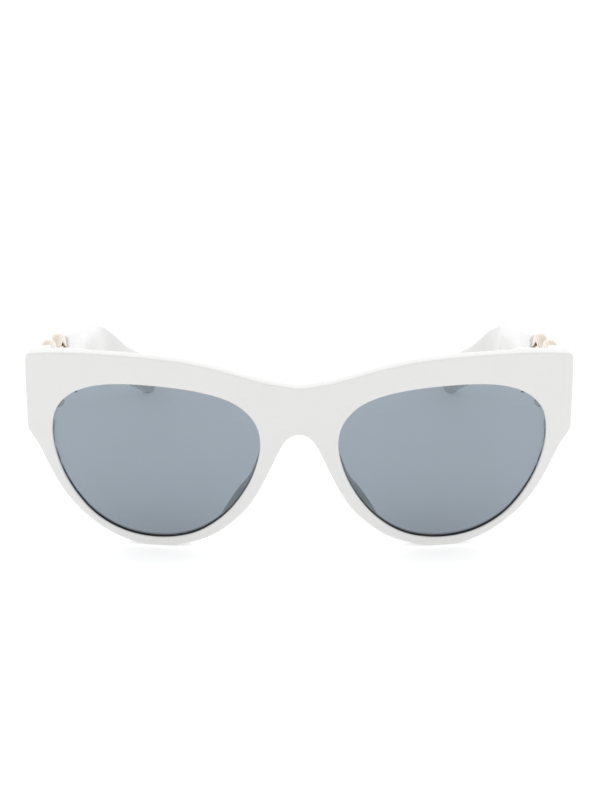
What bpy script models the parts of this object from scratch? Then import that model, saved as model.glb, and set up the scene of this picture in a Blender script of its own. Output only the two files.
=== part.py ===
"""White cat eye sunglasses, resting open on their lower rims and temple tips.

X runs across the front, +X to the wearer's left. The front faces -Y and +Z is up. The origin is
the bottom centre of the whole object. Lengths named here are millimetres times MM, so metres.
"Depth" is the distance behind the foremost point of the bridge, along +Y.
"""

import math

import bmesh
import bpy
from mathutils import Matrix, Vector

MM = 0.001
GAP = 0.3 * MM
CREASE = math.radians(35)  # edges sharper than this are shaded sharp
SNAP = 0.01 * MM  # corners this near a slicing plane count as lying on it

# Whole object
ORIGIN_DEPTH = 67.47 * MM  # depth of the origin, half of the open length
SIDES = {"left": 1, "right": -1}

# Front: a plate bent round a vertical axis, with an endpiece at each end
WRAP_RADIUS = 333 * MM
PLATE = 4.2 * MM
SLICE = 5.0 * MM
BUTT_DEPTH = 14.5 * MM  # plane where the endpiece meets the temple
BUTT_INNER_X = 67.6 * MM
BUTT_BOTTOM_Z = 32.0 * MM
LEAF_SEAT_DEPTH = 11.2 * MM
LEAF_SEAT_INNER_X = 59.6 * MM
LEAF_SEAT_BOTTOM_Z = 40.5 * MM
SEAT_BLEND = 2.5 * MM
END_SLICES = (63.4 * MM, 71.0 * MM)  # more slices, across each endpiece

# Lens: thickness, how far it reaches into the rim, and how far its middle stands forward
LENS_THICKNESS = 1.8 * MM
LENS_LIP = 0.9 * MM
LENS_SETBACK = 1.4 * MM
LENS_BULGE = 1.2 * MM
LENS_MIDDLE = Vector((39.0 * MM, 0, 24.5 * MM))
LENS_REACH = 28.0 * MM
LENS_SLICES_X = [6.0 * MM * i for i in range(2, 12)]
LENS_SLICES_Z = [8.0 * MM * i for i in range(1, 6)]
GROOVE_SLICES = [7.0 * MM * i for i in range(2, 10)]

# Hinge: five knuckles on a vertical axis just inside the temple
HINGE_X = 65.4 * MM
HINGE_DEPTH = BUTT_DEPTH
HINGE_MIDDLE_Z = 46.4 * MM
KNUCKLES = 5
KNUCKLE_PITCH = 1.8 * MM
KNUCKLE_RADIUS = 1.7 * MM
SHANK_RADIUS = 0.7 * MM
BORE_RADIUS = SHANK_RADIUS + GAP
LEAF_PLATE = 1.0 * MM
FRONT_LEAF_INNER_X = 60.4 * MM
FRONT_WEB_HALF = 1.2 * MM  # half width of the webs between the front leaf and its knuckles
FRONT_WEB_END = 13.5 * MM
TEMPLE_LEAF_END = 24.4 * MM
TEMPLE_WEB = (0.5 * MM, 1.45 * MM)  # from the hinge's axis outward
TEMPLE_WEB_START = 0.4 * MM  # behind the hinge's axis
TEMPLE_WEB_BITE = 0.6 * MM  # into the temple leaf
HINGE_HEAD_RADIUS = 1.5 * MM
HINGE_HEAD = 0.8 * MM
RIVET_X = 62.2 * MM
RIVET_RISES = {"upper": 2.7 * MM, "lower": 0.1 * MM}  # above the hinge's middle
RIVET_BITE = 2.4 * MM

# Flat sides round the turned parts and the links, and steps between the places of a smooth curve
BARREL_SIDES = 20
BORE_SIDES = 16
SCREW_SIDES = 14
LINK_SIDES = 24
OUTLINE_STEPS = 4
OPENING_STEPS = 3
PAD_STEPS = 3
ARM_STEPS = 4
CORE_STEPS = 12
CORE_SKIP = 4  # the core wire has a section at every fourth of its steps

# Temple line: it runs back, inward and down from the butt plane
TEMPLE_X = 69.65 * MM
TEMPLE_Z = 44.0 * MM
TOE_IN = math.tan(math.radians(2.6))
DROP = math.tan(math.radians(11.6))

# Link ornament: a carrier plate on the inner side, two oval links on the outer side
LINK_LENGTH = 14.6 * MM
LINK_HEIGHT = 21.4 * MM
LINK_BAR = 3.2 * MM
LINK_CORNER = 0.9 * MM
LINK_OFFSET = 0.6 * MM
LINK_TILT = math.radians(6.0)
LINK_SCREW_DROPS = {"front": 4.2 * MM, "rear": 0.0}  # the front one clears the hinge leaf
LINK_DEPTHS = {"front": 22.8 * MM, "rear": 37.8 * MM}
LINK_SCREW_BITE = 3.0 * MM
CARRIER_PLATE = 1.0 * MM
CARRIER_OFFSET = -1.8 * MM
CARRIER_HEIGHT = 12.6 * MM
CARRIER_REAR = 46.0 * MM
METAL_CORNER = 0.3 * MM
TONGUE_PLATE = 1.9 * MM
TONGUE_OFFSET = -1.3 * MM
TONGUE_HEIGHT = 8.4 * MM
TONGUE_LENGTH = 10.0 * MM
TONGUE_LAP = 0.4 * MM  # how far the tongue runs into the carrier's plate
SCREW_RADIUS = 0.6 * MM
SCREW_HEAD_RADIUS = 1.25 * MM
SCREW_HEAD = 0.5 * MM
HEAD_TAPER = 0.8  # top of a screw's or rivet's head, as a share of its radius

# Temple arm: places of its middle line (half width, depth, height), then height at each place
ARM_LINE = [(69.3, 46.8, 37.2), (68.1, 62.0, 34.3), (66.8, 90.0, 29.1),
            (64.8, 103.3, 25.4), (58.9, 114.4, 15.8), (50.6, 130.6, 4.9)]
ARM_HEIGHTS = [18.4, 16.4, 13.4, 11.6, 11.0, 11.6]
ARM_THICKNESS = 4.0 * MM
ARM_CORNER = 1.2 * MM
ARM_TIP = [(1.8, 0.86), (3.0, 0.62), (3.6, 0.36)]  # reach past the line, then share of the height
ARM_TIP_THINNEST = 0.4  # share of the thickness that a tip section never goes under
ARM_SCREWS = {"front": 0.3, "rear": 0.8}  # places along the tongue, as shares of its length
ARM_SCREW_BITE = 3.8 * MM
CORE_HEIGHT = 3.0 * MM
CORE_THICKNESS = 1.0 * MM
CORE_OFFSET = -0.7 * MM
CORE_CORNER = 0.2 * MM
CORE_LEAD = 3.0 * MM  # how far ahead of the wire its slot starts, to open into the tongue's seat
CORE_REACH = 0.86  # share of the arm's line that the core wire fills

# Nose pad: a flared ridge along the nose side of the rim
PAD_LINE = [(20.2, 8.1), (15.6, 12.7), (12.2, 18.2), (9.7, 24.4)]
PAD_WIDTH = 3.3 * MM
PAD_DEPTH = 6.0 * MM
PAD_FLARE = 1.7 * MM
# Points across the pad: share of its width, share of its flare, share of its depth
PAD_PROFILE = [(-0.5, 0.0, 0.0), (-0.42, 0.25, 0.4), (-0.3, 0.55, 0.75), (-0.12, 0.8, 0.95),
               (0.14, 1.0, 1.0), (0.4, 1.0, 0.86), (0.5, 0.6, 0.55), (0.5, 0.0, 0.0)]
PAD_END_SWELL = 0.2  # share of its full size that the pad keeps at its ends

# Right half of the front's outline, from the middle of the brow to the middle of the nose arch.
# Each run is a smooth curve, and the runs meet at corners.
TOP_RUN = [(0, 46.7), (9.5, 48.3), (20.5, 51.5), (33, 54.0), (48, 55.0), (64, 55.0), (73.6, 54.0)]
END_RUN = [(73.6, 54.0), (74.2, 53.2), (74.4, 44.0), (74.4, 32.2)]
CHAMFER_RUN = [(74.4, 32.2), (71.6, 28.2)]
RIM_RUN = [(71.6, 28.2), (66.4, 17.0), (60.4, 9.1), (53.3, 3.6), (46.6, 0.7), (40.0, 0.0)]
STAND_RUN = [(40.0, 0.0), (35.4, 0.0)]
NOSE_RUN = [(35.4, 0.0), (28.2, 1.5), (21.4, 4.9), (13.9, 12.0), (8.9, 21.1),
            (5.0, 29.6), (2.6, 32.8), (0, 33.6)]
OPENING = [(10.6, 32.0), (12.7, 38.0), (18.4, 42.8), (28.6, 45.7), (42.6, 46.9), (53.4, 46.4),
           (61.0, 43.9), (65.8, 39.3), (67.3, 32.8), (66.4, 25.4), (63.2, 17.2), (56.8, 8.9),
           (48.0, 3.9), (38.0, 2.5), (28.4, 4.4), (20.3, 10.0), (14.6, 17.6), (11.5, 25.0)]


def smooth_curve(points, steps, closed=False):
    """Points along a Catmull-Rom curve through 2-D or 3-D places given in millimetres."""
    places = [Vector(p) if len(p) == 3 else Vector((p[0], 0, p[1])) for p in points]
    count = len(places)
    curve = []
    for i in range(count if closed else count - 1):
        if closed:
            a, b, c, d = (places[(i + k) % count] for k in (-1, 0, 1, 2))
        else:
            b, c = places[i], places[i + 1]
            a = places[i - 1] if i > 0 else 2 * b - c
            d = places[i + 2] if i + 2 < count else 2 * c - b
        for step in range(steps):
            t = step / steps
            curve.append(0.5 * (2 * b + (c - a) * t + (2 * a - 5 * b + 4 * c - d) * t * t
                                + (3 * b - a - 3 * c + d) * t ** 3) * MM)
    if not closed:
        curve.append(places[-1] * MM)
    return curve


def offset_loop(loop, distance):
    """The closed loop moved outward by a distance, in the XZ plane."""
    moved = []
    for i, point in enumerate(loop):
        along = (loop[(i + 1) % len(loop)] - loop[i - 1]).normalized()
        moved.append(point + distance * Vector((-along.z, 0, along.x)))
    return moved


def front_outline():
    """The whole outline of the front, as one closed loop."""
    half = []
    for run in (TOP_RUN, END_RUN, CHAMFER_RUN, RIM_RUN, STAND_RUN, NOSE_RUN):
        steps = 1 if len(run) == 2 else OUTLINE_STEPS
        half += smooth_curve(run, steps)[:-1]
    half.append(Vector((0, 0, NOSE_RUN[-1][1] * MM)))
    other = [Vector((-p.x, 0, p.z)) for p in half[1:-1]]
    return half + other[::-1]


def eye_loop(side, lip=0.0):
    """The lens opening on one side, moved outward by a lip."""
    loop = offset_loop(smooth_curve(OPENING, OPENING_STEPS, closed=True), lip)
    return [Vector((side * p.x, 0, p.z)) for p in loop]


def wrap(x):
    return x * x / (2 * WRAP_RADIUS)


def blend(value, start, end):
    """0 before start, 1 after end, with a smooth rise between."""
    t = min(1.0, max(0.0, (value - start) / (end - start)))
    return t * t * (3 - 2 * t)


def back_depth(x, z):
    """Depth of the front's back face: plate, leaf seat, then the endpiece's butt face."""
    plate = wrap(x) + PLATE
    seat = (blend(abs(x), LEAF_SEAT_INNER_X - SEAT_BLEND, LEAF_SEAT_INNER_X)
            * blend(z, LEAF_SEAT_BOTTOM_Z - SEAT_BLEND, LEAF_SEAT_BOTTOM_Z))
    depth = plate + seat * max(0.0, LEAF_SEAT_DEPTH - plate)
    butt = (blend(abs(x), BUTT_INNER_X - GAP, BUTT_INNER_X)
            * blend(z, BUTT_BOTTOM_Z - SEAT_BLEND, BUTT_BOTTOM_Z))
    return depth + butt * (BUTT_DEPTH - depth)


def lens_depth(x, z, extra=0.0):
    """Depth of the lens's front face, which stands forward in its middle."""
    away = (Vector((abs(x), 0, z)) - LENS_MIDDLE).length / LENS_REACH
    return wrap(x) + LENS_SETBACK - LENS_BULGE * (1 - away * away) + extra


def new_object(name, bm, look, parent=None):
    """One named node from a bmesh in world coordinates."""
    bmesh.ops.recalc_face_normals(bm, faces=bm.faces)
    mesh = bpy.data.meshes.new(name)
    bm.to_mesh(mesh)
    bm.free()
    mesh.shade_smooth()
    mesh.set_sharp_from_angle(angle=CREASE)
    obj = bpy.data.objects.new(name, mesh)
    bpy.context.scene.collection.objects.link(obj)
    mesh.materials.append(look)
    if parent:
        obj.parent = parent
        obj.matrix_parent_inverse = Matrix.Translation(-parent.location)
    return obj


def shape(obj, bm, name, operation):
    """Changes an object by the shape of a hidden helper."""
    helper = new_object(name, bm, obj.data.materials[0])
    helper.hide_render = True
    helper.display_type = "WIRE"
    modifier = obj.modifiers.new(name, "BOOLEAN")
    modifier.object = helper
    modifier.operation = operation


def cut(obj, bm, name):
    shape(obj, bm, name, "DIFFERENCE")


def join(obj, bm, name):
    shape(obj, bm, name, "UNION")


def finish(name, colour, roughness, metallic=0.0, alpha=1.0):
    """A plain material."""
    made = bpy.data.materials.new(name)
    made.use_nodes = True
    shader = made.node_tree.nodes["Principled BSDF"]
    shader.inputs["Base Color"].default_value = (*colour, 1)
    shader.inputs["Roughness"].default_value = roughness
    shader.inputs["Metallic"].default_value = metallic
    shader.inputs["Alpha"].default_value = alpha
    return made


def plate_mesh(loops, front, back, slice_x, slice_z):
    """A plate between two depth functions, bounded by an outer loop and any holes."""
    bm = bmesh.new()
    for loop in loops:
        corners = [bm.verts.new(point) for point in loop]
        for i, corner in enumerate(corners):
            bm.edges.new((corner, corners[(i + 1) % len(corners)]))
    bmesh.ops.triangle_fill(bm, use_beauty=True, use_dissolve=True, edges=bm.edges)
    cuts = [(Vector((x, 0, 0)), Vector((1, 0, 0))) for x in slice_x]
    cuts += [(Vector((0, 0, z)), Vector((0, 0, 1))) for z in slice_z]
    for place, normal in cuts:
        everything = bm.verts[:] + bm.edges[:] + bm.faces[:]
        bmesh.ops.bisect_plane(bm, geom=everything, dist=SNAP, plane_co=place, plane_no=normal)
    sheet = bm.faces[:]
    grown = bmesh.ops.extrude_face_region(bm, geom=sheet, use_keep_orig=True)
    behind = {item for item in grown["geom"] if isinstance(item, bmesh.types.BMVert)}
    for vert in bm.verts:
        depth = back if vert in behind else front
        vert.co.y = depth(vert.co.x, vert.co.z) - ORIGIN_DEPTH
    return bm


def loft(rings):
    """A closed solid through rings that have the same number of points."""
    bm = bmesh.new()
    rows = [[bm.verts.new(point) for point in ring] for ring in rings]
    count = len(rows[0])
    for near, far in zip(rows, rows[1:]):
        for i in range(count):
            j = (i + 1) % count
            bm.faces.new((near[i], near[j], far[j], far[i]))
    bm.faces.new(rows[0])
    bm.faces.new(rows[-1])
    return bm


def box(low, high):
    """A box between two corners."""
    bm = bmesh.new()
    bmesh.ops.create_cube(bm, size=1, matrix=Matrix.Translation((low + high) / 2)
                          @ Matrix.Diagonal((*(high - low), 1)))
    return bm


def rounded_rectangle(width, height, corner):
    """Eight points of a rectangle with cut corners, as (across, up) pairs."""
    half_w, half_h = width / 2, height / 2
    points = []
    for across, up in ((1, 1), (-1, 1), (-1, -1), (1, -1)):
        pair = [(across * half_w, up * (half_h - corner)), (across * (half_w - corner), up * half_h)]
        points += pair if across * up > 0 else pair[::-1]
    return points


def turned(profile, segments, axis_matrix):
    """A turned solid from (radius, height) pairs along its axis, with flat ends."""
    rings = []
    for radius, height in profile:
        angles = [2 * math.pi * i / segments for i in range(segments)]
        rings.append([axis_matrix @ Vector((radius * math.cos(a), radius * math.sin(a), height))
                      for a in angles])
    return loft(rings)


def upright(side, x, depth, z):
    """A frame with its axis upward, at one place of one side."""
    return Matrix.Translation((side * x, depth - ORIGIN_DEPTH, z))


def sideways(side, x, depth, z):
    """A frame with its axis pointing outward, at one place of one side."""
    return upright(side, x, depth, z) @ Matrix.Rotation(side * math.pi / 2, 4, "Y")


def temple_x(depth):
    return TEMPLE_X - (depth - BUTT_DEPTH) * TOE_IN


def temple_z(depth):
    return TEMPLE_Z - (depth - BUTT_DEPTH) * DROP


def temple_bar(side, start, end, thickness, offset, height, corner, z_of=temple_z):
    """A straight bar along the temple line, cut square to the butt plane at both ends."""
    rings = []
    for depth in (start, end):
        rings.append([Vector((side * (temple_x(depth) + offset + across), depth - ORIGIN_DEPTH,
                              z_of(depth) + up))
                      for across, up in rounded_rectangle(thickness, height, corner)])
    return loft(rings)


def knuckle_base(index):
    """Lowest height of one knuckle, counted from the bottom."""
    return HINGE_MIDDLE_Z + (index - KNUCKLES / 2) * KNUCKLE_PITCH + GAP / 2


def add_knuckles(leaf, name, side, indices, web_low, web_high):
    """Knuckles on the hinge axis, each with a web that ties it to its leaf."""
    height = KNUCKLE_PITCH - GAP
    for index in indices:
        base = knuckle_base(index)
        profile = [(KNUCKLE_RADIUS, 0), (KNUCKLE_RADIUS, height)]
        barrel = turned(profile, BARREL_SIDES, upright(side, HINGE_X, HINGE_DEPTH, base))
        join(leaf, barrel, f"{name}_barrel_{index}")
        low = Vector((web_low[0], web_low[1], base))
        high = Vector((web_high[0], web_high[1], base + height))
        web = box(low, high)
        bmesh.ops.scale(web, vec=(side, 1, 1), verts=web.verts)
        bmesh.ops.translate(web, vec=(0, -ORIGIN_DEPTH, 0), verts=web.verts)
        join(leaf, web, f"{name}_web_{index}")
    reach = KNUCKLES * KNUCKLE_PITCH
    bore = turned([(BORE_RADIUS, -reach), (BORE_RADIUS, reach)], BORE_SIDES,
                  upright(side, HINGE_X, HINGE_DEPTH, HINGE_MIDDLE_Z))
    cut(leaf, bore, f"{name}_bore")


def front_frame(white):
    """The one-piece white front, with grooves for the lenses."""
    most = int(LEAF_SEAT_INNER_X / SLICE)
    regular = [i * SLICE for i in range(-most, most + 1)]
    steps = [BUTT_INNER_X - GAP, BUTT_INNER_X, LEAF_SEAT_INNER_X, LEAF_SEAT_INNER_X - SEAT_BLEND]
    levels = [BUTT_BOTTOM_Z - SEAT_BLEND, BUTT_BOTTOM_Z,
              LEAF_SEAT_BOTTOM_Z - SEAT_BLEND, LEAF_SEAT_BOTTOM_Z]
    across = [x for x in regular if abs(x) < LEAF_SEAT_INNER_X - SEAT_BLEND]
    across += [side * x for x in steps for side in (1, -1)]
    across += [side * x for x in END_SLICES for side in (1, -1)]
    loops = [front_outline(), eye_loop(1), eye_loop(-1)]
    bm = plate_mesh(loops, lambda x, z: wrap(x), back_depth, across, levels)
    frame = new_object("front_frame", bm, white)
    for name, side in SIDES.items():
        groove = plate_mesh([eye_loop(side, LENS_LIP + GAP)],
                            lambda x, z: lens_depth(x, z, -GAP),
                            lambda x, z: lens_depth(x, z, LENS_THICKNESS + GAP),
                            [side * x for x in GROOVE_SLICES], [])
        cut(frame, groove, f"lens_groove_{name}")
    return frame


def lens(name, side, tint):
    """One lens, with its edge in the rim's groove."""
    bm = plate_mesh([eye_loop(side, LENS_LIP)], lens_depth,
                    lambda x, z: lens_depth(x, z, LENS_THICKNESS),
                    [side * x for x in LENS_SLICES_X], LENS_SLICES_Z)
    return new_object(f"lens_{name}", bm, tint)


def nose_pad(name, side, white):
    """A ridge bonded to the rim's back, that leans away from the nose as it runs back."""
    line = smooth_curve(PAD_LINE, PAD_STEPS)
    rings = []
    for i, place in enumerate(line):
        share = i / (len(line) - 1)
        swell = max(PAD_END_SWELL, math.sqrt(1 - (2 * share - 1) ** 2))
        along = (line[min(i + 1, len(line) - 1)] - line[max(i - 1, 0)]).normalized()
        away = Vector((along.z, 0, -along.x))
        ring = []
        for across, flare, rise in PAD_PROFILE:
            shift = across * PAD_WIDTH * (0.5 + 0.5 * swell) + flare * PAD_FLARE * swell
            point = place + away * shift
            depth = wrap(point.x) + PLATE + GAP + rise * PAD_DEPTH * swell
            ring.append(Vector((side * point.x, depth - ORIGIN_DEPTH, point.z)))
        rings.append(ring)
    return new_object(f"nose_pad_{name}", loft(rings), white)


def front_hinge_leaf(name, side, metal):
    """Leaf behind the endpiece, with three knuckles."""
    seat = LEAF_SEAT_DEPTH + GAP
    half = (KNUCKLES * KNUCKLE_PITCH - GAP) / 2
    low = Vector((FRONT_LEAF_INNER_X, seat, HINGE_MIDDLE_Z - half))
    high = Vector((HINGE_X + KNUCKLE_RADIUS, seat + LEAF_PLATE, HINGE_MIDDLE_Z + half))
    plate = box(low, high)
    bmesh.ops.scale(plate, vec=(side, 1, 1), verts=plate.verts)
    bmesh.ops.translate(plate, vec=(0, -ORIGIN_DEPTH, 0), verts=plate.verts)
    leaf = new_object(f"front_hinge_leaf_{name}", plate, metal)
    web = ((HINGE_X - FRONT_WEB_HALF, seat + LEAF_PLATE / 2),
           (HINGE_X + FRONT_WEB_HALF, FRONT_WEB_END))
    add_knuckles(leaf, f"front_leaf_{name}", side, range(0, KNUCKLES, 2), *web)
    return leaf


def rivets(name, side, metal, leaf, frame):
    """Two rivets through the front leaf into the endpiece."""
    outer = LEAF_SEAT_DEPTH + GAP + LEAF_PLATE + GAP
    for level, above in RIVET_RISES.items():
        place = upright(side, RIVET_X, outer, HINGE_MIDDLE_Z + above)
        matrix = place @ Matrix.Rotation(-math.pi / 2, 4, "X")
        head = [(SCREW_RADIUS, -RIVET_BITE), (SCREW_RADIUS, 0), (SCREW_HEAD_RADIUS, 0),
                (SCREW_HEAD_RADIUS * HEAD_TAPER, SCREW_HEAD)]
        new_object(f"front_leaf_rivet_{level}_{name}", turned(head, SCREW_SIDES, matrix), metal)
        hole = [(SCREW_RADIUS + GAP, -RIVET_BITE - GAP), (SCREW_RADIUS + GAP, GAP)]
        cut(leaf, turned(hole, SCREW_SIDES, matrix), f"leaf_hole_{level}_{name}")
        cut(frame, turned(hole, SCREW_SIDES, matrix), f"frame_hole_{level}_{name}")


def temple_hinge_leaf(name, side, metal, axis):
    """Leaf on the carrier's inner face, with two knuckles that turn between the front leaf's."""
    clear = HINGE_DEPTH + KNUCKLE_RADIUS + GAP
    offset = HINGE_X + KNUCKLE_RADIUS - LEAF_PLATE / 2 - temple_x(HINGE_DEPTH)
    height = KNUCKLES * KNUCKLE_PITCH - GAP
    plate = temple_bar(side, clear, TEMPLE_LEAF_END, LEAF_PLATE, offset, height, METAL_CORNER,
                       lambda depth: HINGE_MIDDLE_Z)
    leaf = new_object(f"temple_hinge_leaf_{name}", plate, metal, axis)
    web = ((HINGE_X + TEMPLE_WEB[0], HINGE_DEPTH + TEMPLE_WEB_START),
           (HINGE_X + TEMPLE_WEB[1], clear + TEMPLE_WEB_BITE))
    add_knuckles(leaf, f"temple_leaf_{name}", side, range(1, KNUCKLES, 2), *web)


def hinge_screw(name, side, steel):
    """Screw down the hinge axis, its head above the top knuckle."""
    half = KNUCKLES * KNUCKLE_PITCH / 2
    profile = [(SHANK_RADIUS, -half), (SHANK_RADIUS, half), (HINGE_HEAD_RADIUS, half),
               (HINGE_HEAD_RADIUS, half + HINGE_HEAD)]
    matrix = upright(side, HINGE_X, HINGE_DEPTH, HINGE_MIDDLE_Z)
    return new_object(f"hinge_screw_{name}", turned(profile, BORE_SIDES, matrix), steel)


def carrier(name, side, gold, axis):
    """Gold plate behind the links, with a thicker tongue that is let into the arm."""
    plate = temple_bar(side, BUTT_DEPTH + GAP, CARRIER_REAR, CARRIER_PLATE, CARRIER_OFFSET,
                       CARRIER_HEIGHT, METAL_CORNER)
    made = new_object(f"link_carrier_{name}", plate, gold, axis)
    tongue = temple_bar(side, CARRIER_REAR - TONGUE_LAP, CARRIER_REAR + TONGUE_LENGTH,
                        TONGUE_PLATE, TONGUE_OFFSET, TONGUE_HEIGHT, METAL_CORNER)
    join(made, tongue, f"tongue_{name}")
    return made


def link(name, place, side, gold, axis):
    """A tall oval ring of rounded bar, standing on the outer side of the carrier."""
    depth = LINK_DEPTHS[place]
    x = temple_x(depth) + LINK_OFFSET
    half_run = (LINK_HEIGHT - LINK_LENGTH) / 2
    radius = (LINK_LENGTH - LINK_BAR) / 2
    rings = []
    for i in range(LINK_SIDES):
        angle = 2 * math.pi * (i + 0.5) / LINK_SIDES
        out = Vector((0, math.cos(angle), math.sin(angle)))
        lift = half_run if out.z > 0 else -half_run
        middle = Vector((0, 0, lift)) + out * radius
        ring = [middle + out * up + Vector((across, 0, 0))
                for across, up in rounded_rectangle(LINK_BAR, LINK_BAR, LINK_CORNER)]
        rings.append(ring)
    bm = bmesh.new()
    rows = [[bm.verts.new(point) for point in ring] for ring in rings]
    for i, row in enumerate(rows):
        following = rows[(i + 1) % LINK_SIDES]
        for k in range(len(row)):
            j = (k + 1) % len(row)
            bm.faces.new((row[k], row[j], following[j], following[k]))
    turn = Matrix.Rotation(-LINK_TILT, 4, "X")
    toe = Matrix.Rotation(math.atan(TOE_IN) * side, 4, "Z")
    bm.transform(upright(side, x, depth, temple_z(depth)) @ toe @ turn)
    return new_object(f"{place}_link_{name}", bm, gold, axis)


def link_screw(name, place, side, metal, axis, parts):
    """Screw from the inner side through the carrier into a link's outer bar."""
    outward = {"front": -1, "rear": 1}[place]
    depth = LINK_DEPTHS[place] + outward * (LINK_LENGTH - LINK_BAR) / 2
    z = temple_z(depth) - LINK_SCREW_DROPS[place]
    seat = temple_x(depth) + CARRIER_OFFSET - CARRIER_PLATE / 2 - GAP
    matrix = sideways(side, seat, depth, z)
    profile = [(SCREW_HEAD_RADIUS * HEAD_TAPER, -SCREW_HEAD), (SCREW_HEAD_RADIUS, 0),
               (SCREW_RADIUS, 0), (SCREW_RADIUS, LINK_SCREW_BITE)]
    new_object(f"{place}_link_screw_{name}", turned(profile, SCREW_SIDES, matrix), metal, axis)
    hole = [(SCREW_RADIUS + GAP, -GAP), (SCREW_RADIUS + GAP, LINK_SCREW_BITE + GAP)]
    for part in parts:
        cut(part, turned(hole, SCREW_SIDES, matrix), f"{place}_hole_{name}_in_{part.name}")


def arm_stations(steps):
    """Middle, outward and upward directions, and height, along the left arm."""
    line = smooth_curve(ARM_LINE, steps)
    tall = [p.x for p in smooth_curve([(h, 0) for h in ARM_HEIGHTS], steps)]
    stations = []
    for i, place in enumerate(line):
        along = (line[min(i + 1, len(line) - 1)] - line[max(i - 1, 0)]).normalized()
        outward = along.cross(Vector((0, 0, 1))).normalized()
        upward = outward.cross(along).normalized()
        stations.append((place, along, outward, upward, tall[i]))
    return stations


def arm_ring(side, station, thickness, height, corner, offset=0.0, forward=0.0):
    """One section across the arm's line."""
    place, along, outward, upward, _ = station
    ring = []
    for across, up in rounded_rectangle(thickness, height, corner):
        point = place + outward * (across + offset) + upward * up + along * forward
        ring.append(Vector((side * point.x, point.y - ORIGIN_DEPTH, point.z)))
    return ring


def temple_arm(name, side, white, axis):
    """White arm: a flat blade that bends down and in behind the ear, with a rounded tip."""
    stations = arm_stations(ARM_STEPS)
    rings = [arm_ring(side, s, ARM_THICKNESS, s[4], ARM_CORNER) for s in stations]
    tip = stations[-1]
    for reach, shrink in ARM_TIP:
        thickness = ARM_THICKNESS * (ARM_TIP_THINNEST + (1 - ARM_TIP_THINNEST) * shrink)
        rings.append(arm_ring(side, tip, thickness, tip[4] * shrink, ARM_CORNER * shrink,
                              forward=reach * MM))
    bm = loft(rings)
    flat = bmesh.ops.bisect_plane(bm, geom=bm.verts[:] + bm.edges[:] + bm.faces[:],
                                  plane_co=(0, 0, 0), plane_no=(0, 0, -1), clear_outer=True)
    rim = [item for item in flat["geom_cut"] if isinstance(item, bmesh.types.BMEdge)]
    if rim:
        bmesh.ops.contextual_create(bm, geom=rim)
    arm = new_object(f"temple_arm_{name}", bm, white, axis)
    seat = temple_bar(side, CARRIER_REAR - TONGUE_PLATE, CARRIER_REAR + TONGUE_LENGTH + GAP,
                      TONGUE_PLATE + 2 * GAP, TONGUE_OFFSET, TONGUE_HEIGHT + 2 * GAP, METAL_CORNER)
    cut(arm, seat, f"tongue_seat_{name}")
    stations = core_stations()
    stretch = [(stations[0], -CORE_LEAD)] + [(s, 0) for s in stations] + [(stations[-1], GAP)]
    slot = [arm_ring(side, s, CORE_THICKNESS + 2 * GAP, CORE_HEIGHT + 2 * GAP, CORE_CORNER,
                     CORE_OFFSET, forward) for s, forward in stretch]
    cut(arm, loft(slot), f"core_slot_{name}")
    return arm


def core_stations():
    """The stretch of the arm's line that holds the core wire."""
    stations = arm_stations(CORE_STEPS)
    start = next(i for i, s in enumerate(stations) if s[0].y > CARRIER_REAR + TONGUE_LENGTH + MM)
    return stations[start:int(len(stations) * CORE_REACH):CORE_SKIP]


def core_wire(name, side, steel, axis):
    """Flat steel wire that stiffens the arm."""
    rings = [arm_ring(side, s, CORE_THICKNESS, CORE_HEIGHT, CORE_CORNER, CORE_OFFSET)
             for s in core_stations()]
    return new_object(f"core_wire_{name}", loft(rings), steel, axis)


def arm_screws(name, side, metal, axis, parts):
    """Two screws through the tongue into the arm."""
    for place, share in ARM_SCREWS.items():
        depth = CARRIER_REAR + TONGUE_LENGTH * share
        seat = temple_x(depth) + TONGUE_OFFSET - TONGUE_PLATE / 2 - GAP
        matrix = sideways(side, seat, depth, temple_z(depth))
        profile = [(SCREW_HEAD_RADIUS * HEAD_TAPER, -SCREW_HEAD), (SCREW_HEAD_RADIUS, 0),
                   (SCREW_RADIUS, 0), (SCREW_RADIUS, ARM_SCREW_BITE)]
        new_object(f"arm_screw_{place}_{name}", turned(profile, SCREW_SIDES, matrix), metal, axis)
        hole = [(SCREW_RADIUS + GAP, -GAP), (SCREW_RADIUS + GAP, ARM_SCREW_BITE + GAP)]
        for part in parts:
            cut(part, turned(hole, SCREW_SIDES, matrix), f"arm_hole_{place}_{name}_in_{part.name}")


def temple(name, side, finishes, frame):
    """Everything from one endpiece's hinge to the temple tip."""
    white, gold, steel = finishes
    axis = bpy.data.objects.new(f"hinge_axis_{name}", None)
    axis.location = (side * HINGE_X, HINGE_DEPTH - ORIGIN_DEPTH, HINGE_MIDDLE_Z)
    bpy.context.scene.collection.objects.link(axis)
    front_leaf = front_hinge_leaf(name, side, gold)
    rivets(name, side, steel, front_leaf, frame)
    temple_hinge_leaf(name, side, gold, axis)
    hinge_screw(name, side, steel)
    plate = carrier(name, side, gold, axis)
    for place in LINK_DEPTHS:
        ring = link(name, place, side, gold, axis)
        link_screw(name, place, side, steel, axis, (plate, ring))
    arm = temple_arm(name, side, white, axis)
    core_wire(name, side, steel, axis)
    arm_screws(name, side, steel, axis, (plate, arm))


def main():
    for obj in list(bpy.data.objects):
        bpy.data.objects.remove(obj)
    white = finish("white_acetate", (0.83, 0.83, 0.82), 0.25)
    tint = finish("grey_blue_lens", (0.16, 0.2, 0.25), 0.04, alpha=0.6)
    gold = finish("pale_gold", (0.86, 0.68, 0.5), 0.22, metallic=1.0)
    steel = finish("steel", (0.6, 0.6, 0.6), 0.3, metallic=1.0)
    frame = front_frame(white)
    for name, side in SIDES.items():
        lens(name, side, tint)
        nose_pad(name, side, white)
        temple(name, side, (white, gold, steel), frame)


main()
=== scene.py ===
import math

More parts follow.
